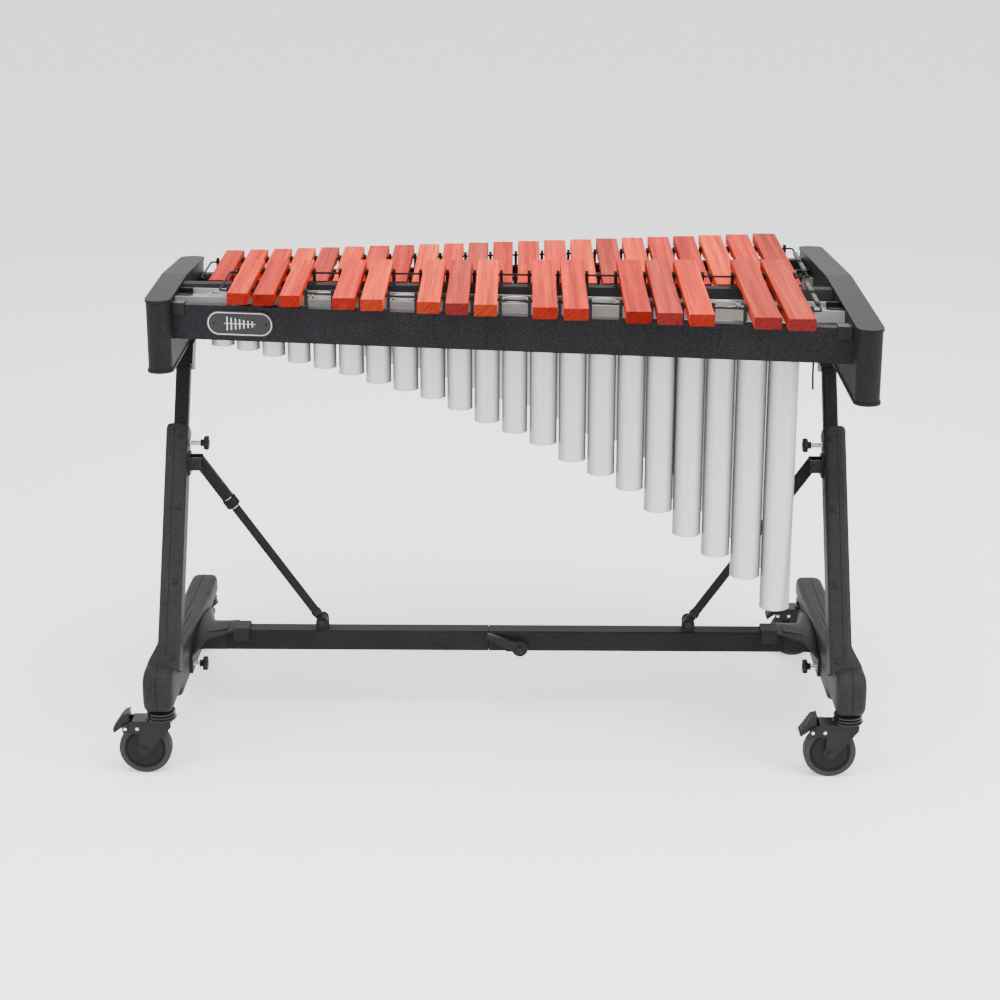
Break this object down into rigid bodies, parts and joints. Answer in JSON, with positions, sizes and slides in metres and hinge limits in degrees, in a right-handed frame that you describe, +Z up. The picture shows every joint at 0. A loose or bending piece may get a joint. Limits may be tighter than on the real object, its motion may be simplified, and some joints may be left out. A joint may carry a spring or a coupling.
{
  "type": "marimba",
  "caption": "Wheeled concert marimba: red wooden tone bars on cords over silver tube resonators, on a height-adjustable frame with castered feet.",
  "frame": {"origin": "on the floor, under the middle of the whole instrument's box", "axes": "+X from the high notes to the low notes, +Y from the audience side to the player's side, +Z up"},
  "size_m": [1.424, 0.9292, 0.9215],
  "materials": {
    "padouk": "oiled padouk, satin",
    "cord": "braided black cord",
    "sleeved_steel": "extension springs in black sleeves",
    "silver_tube": "silver-grey lacquer",
    "silver_sheet": "silver-grey lacquered sheet",
    "black_moulding": "black nylon",
    "rail_coating": "fine textured charcoal coating",
    "block_moulding": "grained charcoal moulding",
    "plate": "gloss black plate with a silver line border",
    "leg_moulding": "grained charcoal moulding",
    "black_steel": "black coated pressed steel",
    "tyre": "grey rubber on a black hub",
    "frame_coating": "charcoal coated steel"
  },
  "bodies": {
    "base": {"high_leg_casing": "leg_moulding", "low_leg_casing": "leg_moulding", "casing_screws": "black_steel", "high_foot": "leg_moulding", "low_foot": "leg_moulding", "base_bar_high": "frame_coating", "base_bar_low": "frame_coating", "bar_joiner": "frame_coating", "high_bar_sleeve": "leg_moulding", "low_bar_sleeve": "leg_moulding", "brace_clevises": "frame_coating", "brace_brackets": "frame_coating", "cam_bracket": "black_moulding"},
    "keyboard": {"natural_bars": "padouk", "accidental_bars": "padouk", "suspension_cords": "cord", "cord_springs": "sleeved_steel", "natural_posts": "black_moulding", "accidental_posts": "black_moulding", "near_rail": "rail_coating", "far_rail": "rail_coating", "inner_rails": "rail_coating", "high_end_block": "block_moulding", "low_end_block": "block_moulding", "end_caps": "block_moulding", "rail_end_clips": "black_moulding", "name_plate": "plate", "cord_tail": "cord", "cord_tail_clip": "black_moulding", "near_resonators": "silver_tube", "far_resonators": "silver_tube", "resonator_stoppers": "silver_tube", "near_bank_channel": "silver_sheet", "far_bank_channel": "silver_sheet", "bank_hooks": "black_moulding", "leg_tubes": "frame_coating", "leg_head_brackets": "frame_coating"},
    "cam_lever": {"cam_lever": "black_moulding"},
    "high_brace": {"high_brace": "frame_coating"},
    "high_brace_collar": {"high_brace_collar": "black_moulding"},
    "high_height_knob": {"high_height_knob": "black_moulding"},
    "high_foot_knob": {"high_foot_knob": "black_moulding"},
    "low_brace": {"low_brace": "frame_coating"},
    "low_brace_collar": {"low_brace_collar": "black_moulding"},
    "low_height_knob": {"low_height_knob": "black_moulding"},
    "low_foot_knob": {"low_foot_knob": "black_moulding"},
    "high_front_fork": {"high_front_caster_fork": "black_steel"},
    "high_front_wheel": {"high_front_wheel": "tyre"},
    "high_front_pedal": {"high_front_brake_pedal": "black_steel"},
    "high_rear_fork": {"high_rear_caster_fork": "black_steel"},
    "high_rear_wheel": {"high_rear_wheel": "tyre"},
    "high_rear_pedal": {"high_rear_brake_pedal": "black_steel"},
    "low_front_fork": {"low_front_caster_fork": "black_steel"},
    "low_front_wheel": {"low_front_wheel": "tyre"},
    "low_front_pedal": {"low_front_brake_pedal": "black_steel"},
    "low_rear_fork": {"low_rear_caster_fork": "black_steel"},
    "low_rear_wheel": {"low_rear_wheel": "tyre"},
    "low_rear_pedal": {"low_rear_brake_pedal": "black_steel"}
  },
  "joints": [
    {"name": "height_slide", "type": "slide", "parent": "base", "child": "keyboard", "axis": [0, 0.5045, 0.8634], "range_m": [-0.06, 0.1]},
    {"name": "cam_lever_turn", "type": "hinge", "parent": "base", "child": "cam_lever", "pos_m": [0.0675, -0.09485, 0.15], "axis": [0, -1, 0], "range_deg": [0, 95]},
    {"name": "high_brace_swing", "type": "hinge", "parent": "base", "child": "high_brace", "pos_m": [-0.3305, -0.06785, 0.197], "axis": [0, 1, 0], "range_deg": [0, 35]},
    {"name": "high_brace_collar_turn", "type": "hinge", "parent": "high_brace", "child": "high_brace_collar", "pos_m": [-0.49996, -0.10781, 0.4597], "axis": [-0.5377, -0.1268, 0.8335], "range_deg": [-90, 90]},
    {"name": "high_height_knob_turn", "type": "hinge", "parent": "base", "child": "high_height_knob", "pos_m": [-0.5725, -0.10604, 0.58036], "axis": [1, 0, 0], "continuous": true},
    {"name": "high_foot_knob_turn", "type": "hinge", "parent": "base", "child": "high_foot_knob", "pos_m": [-0.5725, -0.15385, 0.137], "axis": [1, 0, 0], "continuous": true},
    {"name": "low_brace_swing", "type": "hinge", "parent": "base", "child": "low_brace", "pos_m": [0.4055, -0.06785, 0.197], "axis": [0, -1, 0], "range_deg": [0, 35]},
    {"name": "low_brace_collar_turn", "type": "hinge", "parent": "low_brace", "child": "low_brace_collar", "pos_m": [0.57496, -0.10781, 0.4597], "axis": [0.5377, -0.1268, 0.8335], "range_deg": [-90, 90]},
    {"name": "low_height_knob_turn", "type": "hinge", "parent": "base", "child": "low_height_knob", "pos_m": [0.6475, -0.10604, 0.58036], "axis": [1, 0, 0], "continuous": true},
    {"name": "low_foot_knob_turn", "type": "hinge", "parent": "base", "child": "low_foot_knob", "pos_m": [0.6475, -0.15385, 0.137], "axis": [1, 0, 0], "continuous": true},
    {"name": "high_front_swivel", "type": "hinge", "parent": "base", "child": "high_front_fork", "pos_m": [-0.6145, -0.35785, 0.118], "axis": [0, 0, 1], "continuous": true},
    {"name": "high_front_wheel_spin", "type": "hinge", "parent": "high_front_fork", "child": "high_front_wheel", "pos_m": [-0.6465, -0.35785, 0.05], "axis": [0, 1, 0], "continuous": true},
    {"name": "high_front_brake_press", "type": "hinge", "parent": "high_front_fork", "child": "high_front_pedal", "pos_m": [-0.6765, -0.35785, 0.101], "axis": [0, -1, 0], "range_deg": [0, 18]},
    {"name": "high_rear_swivel", "type": "hinge", "parent": "base", "child": "high_rear_fork", "pos_m": [-0.6145, 0.24715, 0.118], "axis": [0, 0, 1], "continuous": true},
    {"name": "high_rear_wheel_spin", "type": "hinge", "parent": "high_rear_fork", "child": "high_rear_wheel", "pos_m": [-0.6465, 0.24715, 0.05], "axis": [0, 1, 0], "continuous": true},
    {"name": "high_rear_brake_press", "type": "hinge", "parent": "high_rear_fork", "child": "high_rear_pedal", "pos_m": [-0.6765, 0.24715, 0.101], "axis": [0, -1, 0], "range_deg": [0, 18]},
    {"name": "low_front_swivel", "type": "hinge", "parent": "base", "child": "low_front_fork", "pos_m": [0.6895, -0.35785, 0.118], "axis": [0, 0, 1], "continuous": true},
    {"name": "low_front_wheel_spin", "type": "hinge", "parent": "low_front_fork", "child": "low_front_wheel", "pos_m": [0.6575, -0.35785, 0.05], "axis": [0, 1, 0], "continuous": true},
    {"name": "low_front_brake_press", "type": "hinge", "parent": "low_front_fork", "child": "low_front_pedal", "pos_m": [0.6275, -0.35785, 0.101], "axis": [0, -1, 0], "range_deg": [0, 18]},
    {"name": "low_rear_swivel", "type": "hinge", "parent": "base", "child": "low_rear_fork", "pos_m": [0.6895, 0.24715, 0.118], "axis": [0, 0, 1], "continuous": true},
    {"name": "low_rear_wheel_spin", "type": "hinge", "parent": "low_rear_fork", "child": "low_rear_wheel", "pos_m": [0.6575, 0.24715, 0.05], "axis": [0, 1, 0], "continuous": true},
    {"name": "low_rear_brake_press", "type": "hinge", "parent": "low_rear_fork", "child": "low_rear_pedal", "pos_m": [0.6275, 0.24715, 0.101], "axis": [0, -1, 0], "range_deg": [0, 18]}
  ]
}
